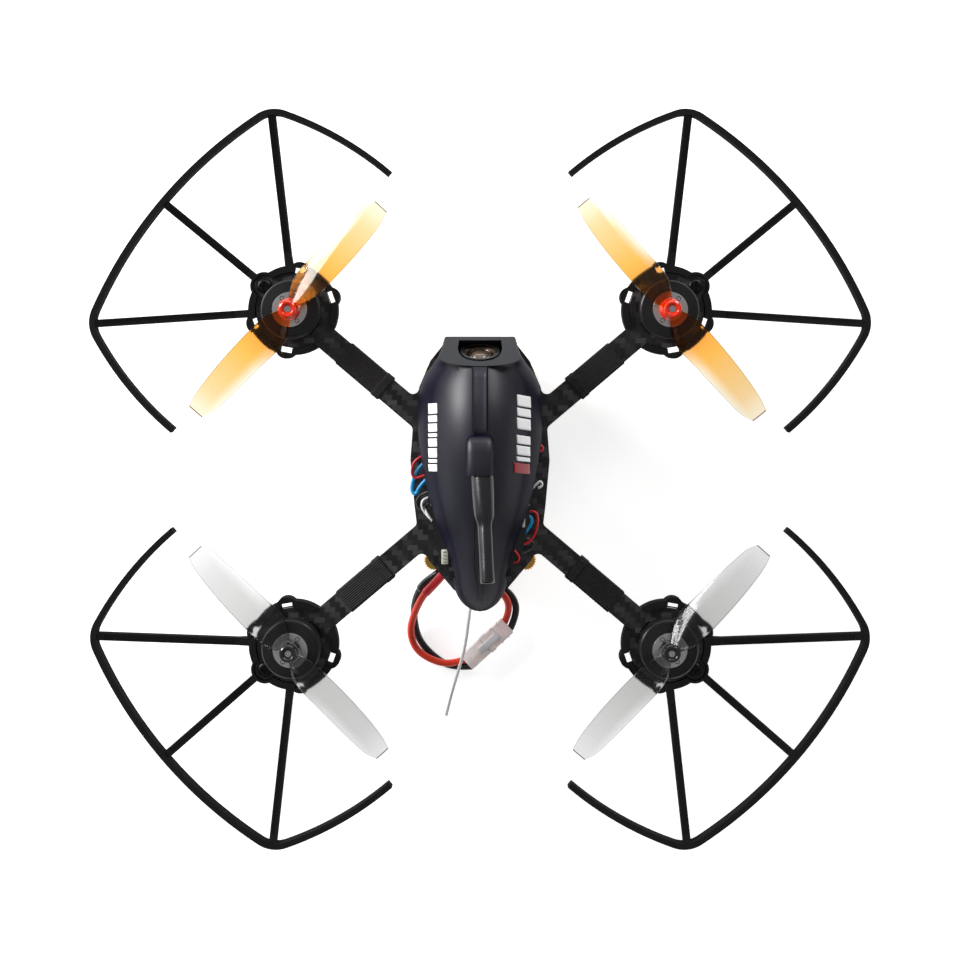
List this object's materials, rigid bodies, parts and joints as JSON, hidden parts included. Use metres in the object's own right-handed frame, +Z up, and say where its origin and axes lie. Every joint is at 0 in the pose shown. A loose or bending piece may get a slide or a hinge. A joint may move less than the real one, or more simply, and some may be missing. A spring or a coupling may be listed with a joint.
{
  "type": "fpv racing drone",
  "caption": "Palm-sized racing quadcopter with moulded canopy, tilting nose camera, corner propeller guards, wrapped carbon arms and a battery pigtail.",
  "frame": {"origin": "on the ground below the middle of the four motor axes", "axes": "+Z up, +Y forward where the camera looks, +X to the drone's right"},
  "size_m": [0.1846, 0.1754, 0.0518],
  "materials": {
    "carbon_plate": "satin woven carbon laminate",
    "brass_standoff": "gold-coloured, turned",
    "black_screw": "black oxide",
    "rubber_foot": "matt",
    "battery_wrap": "shrink-wrapped film",
    "strap_webbing": "woven",
    "motor_black": "satin anodised",
    "bearing_steel": "bright",
    "stator_lacquer": "lacquered laminations",
    "copper_wire": "enamelled copper",
    "orange_prop": "translucent moulded",
    "clear_prop": "clear moulded",
    "guard_plastic": "satin moulded",
    "wire_insulation": "smooth",
    "wrap_tape": "satin heat-shrink",
    "canopy_shell": "satin moulded",
    "board_laminate": "solder mask",
    "chip_black": "moulded",
    "cream_plastic": "moulded nylon",
    "camera_black": "satin",
    "lens_glass": "coated",
    "red_silicone": "silicone",
    "black_silicone": "silicone",
    "white_coax": "smooth"
  },
  "bodies": {
    "airframe": {"antenna_sleeve": "wrap_tape", "arm_tapes": "wrap_tape", "battery_pack": "battery_wrap", "battery_strap": "strap_webbing", "board_chips": "chip_black", "board_posts": "brass_standoff", "camera_cradle": "camera_black", "canopy": "canopy_shell", "canopy_screws": "black_screw", "deck_screws": "black_screw", "deck_standoffs": "brass_standoff", "flight_board": "board_laminate", "guard_fl": "guard_plastic", "guard_fr": "guard_plastic", "guard_rl": "guard_plastic", "guard_rr": "guard_plastic", "guard_screws": "black_screw", "lead_black": "black_silicone", "lead_clamp": "chip_black", "lead_red": "red_silicone", "lead_sleeves": "wrap_tape", "lead_socket": "cream_plastic", "lower_deck": "carbon_plate", "main_plate": "carbon_plate", "motor_bases": "motor_black", "motor_bearings": "bearing_steel", "motor_screws": "black_screw", "motor_wires": "wire_insulation", "pack_lead_black": "black_silicone", "pack_lead_red": "red_silicone", "pack_plug": "cream_plastic", "receiver_antenna": "white_coax", "rubber_feet": "rubber_foot", "signal_wires": "wire_insulation", "stator_cores": "stator_lacquer", "stator_windings": "copper_wire", "vtx_antenna": "black_silicone", "vtx_board": "board_laminate", "wire_connector": "cream_plastic"},
    "rotor_fl": {"bell_fl": "motor_black", "magnets_fl": "bearing_steel", "rotor_shaft_fl": "bearing_steel", "propeller_fl": "orange_prop"},
    "rotor_fr": {"bell_fr": "motor_black", "magnets_fr": "bearing_steel", "rotor_shaft_fr": "bearing_steel", "propeller_fr": "orange_prop"},
    "rotor_rl": {"bell_rl": "motor_black", "magnets_rl": "bearing_steel", "rotor_shaft_rl": "bearing_steel", "propeller_rl": "clear_prop"},
    "rotor_rr": {"bell_rr": "motor_black", "magnets_rr": "bearing_steel", "rotor_shaft_rr": "bearing_steel", "propeller_rr": "clear_prop"},
    "camera": {"camera_body": "camera_black", "camera_lens": "camera_black", "camera_glass": "lens_glass", "camera_screws": "black_screw"}
  },
  "joints": [
    {"name": "rotor_fl_spin", "type": "hinge", "parent": "airframe", "child": "rotor_fl", "pos_m": [-0.045, 0.0404, 0.022], "axis": [0, 0, 1], "continuous": true},
    {"name": "rotor_fr_spin", "type": "hinge", "parent": "airframe", "child": "rotor_fr", "pos_m": [0.045, 0.0404, 0.022], "axis": [0, 0, 1], "continuous": true},
    {"name": "rotor_rl_spin", "type": "hinge", "parent": "airframe", "child": "rotor_rl", "pos_m": [-0.045, -0.0404, 0.022], "axis": [0, 0, 1], "continuous": true},
    {"name": "rotor_rr_spin", "type": "hinge", "parent": "airframe", "child": "rotor_rr", "pos_m": [0.045, -0.0404, 0.022], "axis": [0, 0, 1], "continuous": true},
    {"name": "camera_tilt", "type": "hinge", "parent": "airframe", "child": "camera", "pos_m": [0, 0.02335, 0.0306], "axis": [1, 0, 0], "range_deg": [-12, 3]}
  ]
}
